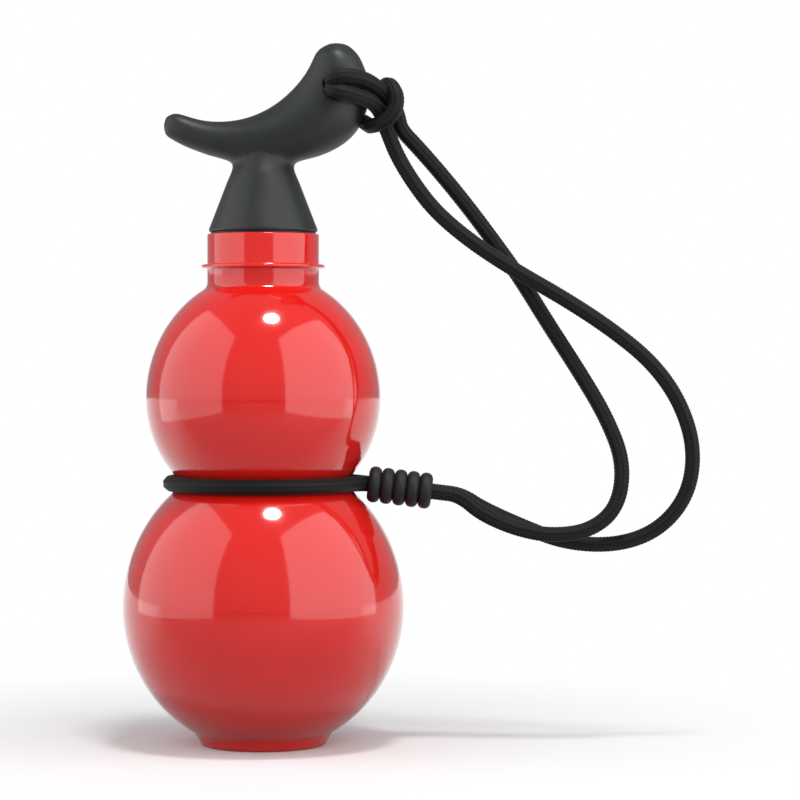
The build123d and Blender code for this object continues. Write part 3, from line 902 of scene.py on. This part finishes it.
rubber = moulded("Matt_black_moulded_rubber", "#101112", "#16181A", 0.62, 3000.0, 0.00003)
finish_with(nodes["cord_bead"], rubber)
silicone = moulded("Black_silicone_rubber", "#141515", "#1B1C1C", 0.42, 2500.0, 0.00001)
for name in ("rim_gasket", "seal_ring_upper", "seal_ring_lower"):
    finish_with(nodes[name], silicone)
plain_black = moulded("Black_moulded_ABS", "#1A1B1B", "#212323", 0.35, 2500.0, 0.00001)
finish_with(nodes["stopper_plug"], plain_black)

# %% [markdown]
# Light and floor. The bottle stands on a pale table before a white backdrop, with a large
# soft box at each side. The camera sees the backdrop as white. Gloss and clear things see it
# too, but only where it is, behind the bottle; the room in front is dimmer, so the soft boxes
# still stand out in the red. Light Path tells these rays from those that carry light, so none
# of this white lights the bottle. Near the foot the table is a plain lit surface, so it keeps
# the bottle's shadow. From 5 to 25 cm from the bottle's middle it fades into the white.

# %% World
world_white_from, world_white_full = 0.92, 1.00      # the direction's share along +Y


def sees_backdrop(tree, behind):
    """1 for the camera's rays, and for gloss or transmission rays as far as they go behind."""
    rays = add(tree, "ShaderNodeLightPath")
    mirrored = add(
        tree, "ShaderNodeMath", {"operation": "MAXIMUM"},
        i0=rays.outputs["Is Glossy Ray"], i1=rays.outputs["Is Transmission Ray"],
    )
    kept = add(
        tree, "ShaderNodeMath", {"operation": "MULTIPLY"},
        i0=mirrored.outputs[0], i1=behind.outputs[0],
    )
    return add(
        tree, "ShaderNodeMath", {"operation": "MAXIMUM"},
        i0=rays.outputs["Is Camera Ray"], i1=kept.outputs[0],
    )


world = bpy.data.worlds.new("Studio")
bpy.context.scene.world = world
world.use_nodes = True
tree = world.node_tree
tree.nodes.clear()
way = add(tree, "ShaderNodeTexCoord")
direction = add(tree, "ShaderNodeSeparateXYZ", i0=way.outputs["Generated"])
behind = add(
    tree, "ShaderNodeMapRange",
    {"interpolation_type": "SMOOTHSTEP", "From Min": world_white_from, "From Max": world_white_full},
    i0=direction.outputs["Y"],
)
seen = sees_backdrop(tree, behind)
room = add(tree, "ShaderNodeBackground", {"Color": linear("#E8ECF0"), "Strength": 0.38})
white = add(tree, "ShaderNodeBackground", {"Color": (1, 1, 1, 1), "Strength": 1.0})
mixed = add(
    tree, "ShaderNodeMixShader", i0=seen.outputs[0], i1=room.outputs[0], i2=white.outputs[0]
)
add(tree, "ShaderNodeOutputWorld", Surface=mixed.outputs[0])
print("world made")

# %% Floor
floor_size = 12
floor_drop = 0.0002                                  # just clear of the foot
floor_white_from, floor_white_full = 0.05, 0.25      # how far from the bottle's middle
floor_behind_from, floor_behind_full = -0.10, 0.10   # along Y, for gloss and transmission
clear_selection()
bpy.ops.mesh.primitive_plane_add(size=floor_size, location=(0, 0, -floor_drop))
floor = bpy.context.object
floor.name = "studio_floor"
floor_paint, tree, shader = new_material("Pale_floor")
shader.inputs["Roughness"].default_value = 0.8
place = add(tree, "ShaderNodeTexCoord")
away = add(
    tree, "ShaderNodeVectorMath", {"operation": "LENGTH"}, i0=place.outputs["Object"]
)
faded = add(
    tree, "ShaderNodeMapRange",
    {"interpolation_type": "SMOOTHSTEP", "From Min": floor_white_from, "From Max": floor_white_full},
    i0=away.outputs["Value"],
)
depth = add(tree, "ShaderNodeSeparateXYZ", i0=place.outputs["Object"])
behind = add(
    tree, "ShaderNodeMapRange",
    {"interpolation_type": "SMOOTHSTEP", "From Min": floor_behind_from, "From Max": floor_behind_full},
    i0=depth.outputs["Y"],
)
seen = sees_backdrop(tree, behind)
paint = add(tree, "ShaderNodeMix", {"data_type": "RGBA"}, i0=seen.outputs[0])
lit_side, seen_side, mixed_colour = 6, 7, 2      # the Mix node's colour inputs and output
paint.inputs[lit_side].default_value = linear("#9C9C9C")
paint.inputs[seen_side].default_value = linear("#ECECEC")
tree.links.new(paint.outputs[mixed_colour], shader.inputs["Base Color"])
share = add(
    tree, "ShaderNodeMath", {"operation": "MULTIPLY"}, i0=seen.outputs[0], i1=faded.outputs[0]
)
white = add(tree, "ShaderNodeEmission", {"Color": (1, 1, 1, 1), "Strength": 1.0})
blend = add(
    tree, "ShaderNodeMixShader", i0=share.outputs[0], i1=shader.outputs[0], i2=white.outputs[0]
)
tree.links.new(blend.outputs[0], tree.nodes["Material Output"].inputs["Surface"])
finish_with(floor, floor_paint)


# %% Lamps
def soft_box(name, place, target, size, power):
    """A white rectangular lamp that faces a target and that the camera doesn't see."""
    clear_selection()
    bpy.ops.object.light_add(type="AREA", location=place)
    lamp = bpy.context.object
    lamp.name = name
    lamp.rotation_euler = (Vector(target) - Vector(place)).to_track_quat("-Z", "Y").to_euler()
    lamp.data.shape = "RECTANGLE"
    lamp.data.size, lamp.data.size_y = size
    lamp.data.energy = power
    lamp.visible_camera = False
    print(name, "set to", power, "W")
    return lamp


soft_box("left_soft_box", (-0.41, -0.10, 0.39), (0, 0, 0.39), (0.70, 0.77), 1.7)
soft_box("right_soft_box", (0.374, -0.19, 0.39), (0, 0, 0.39), (0.70, 0.77), 2.2)
back = soft_box("back_soft_box", (0.0, 0.90, 0.62), (0, 0, 0.62), (2.4, 1.2), 1.6)
back.visible_glossy = False
fill = soft_box("front_fill", (0.0, -1.60, 0.70), (0, 0, 0.12), (1.6, 1.2), 10.5)
fill.visible_glossy = False
top = soft_box("top_lamp", (0.13, -0.30, 1.12), (0, 0, 0.1), (0.22, 0.19), 5.0)
top.data.shape = "ELLIPSE"
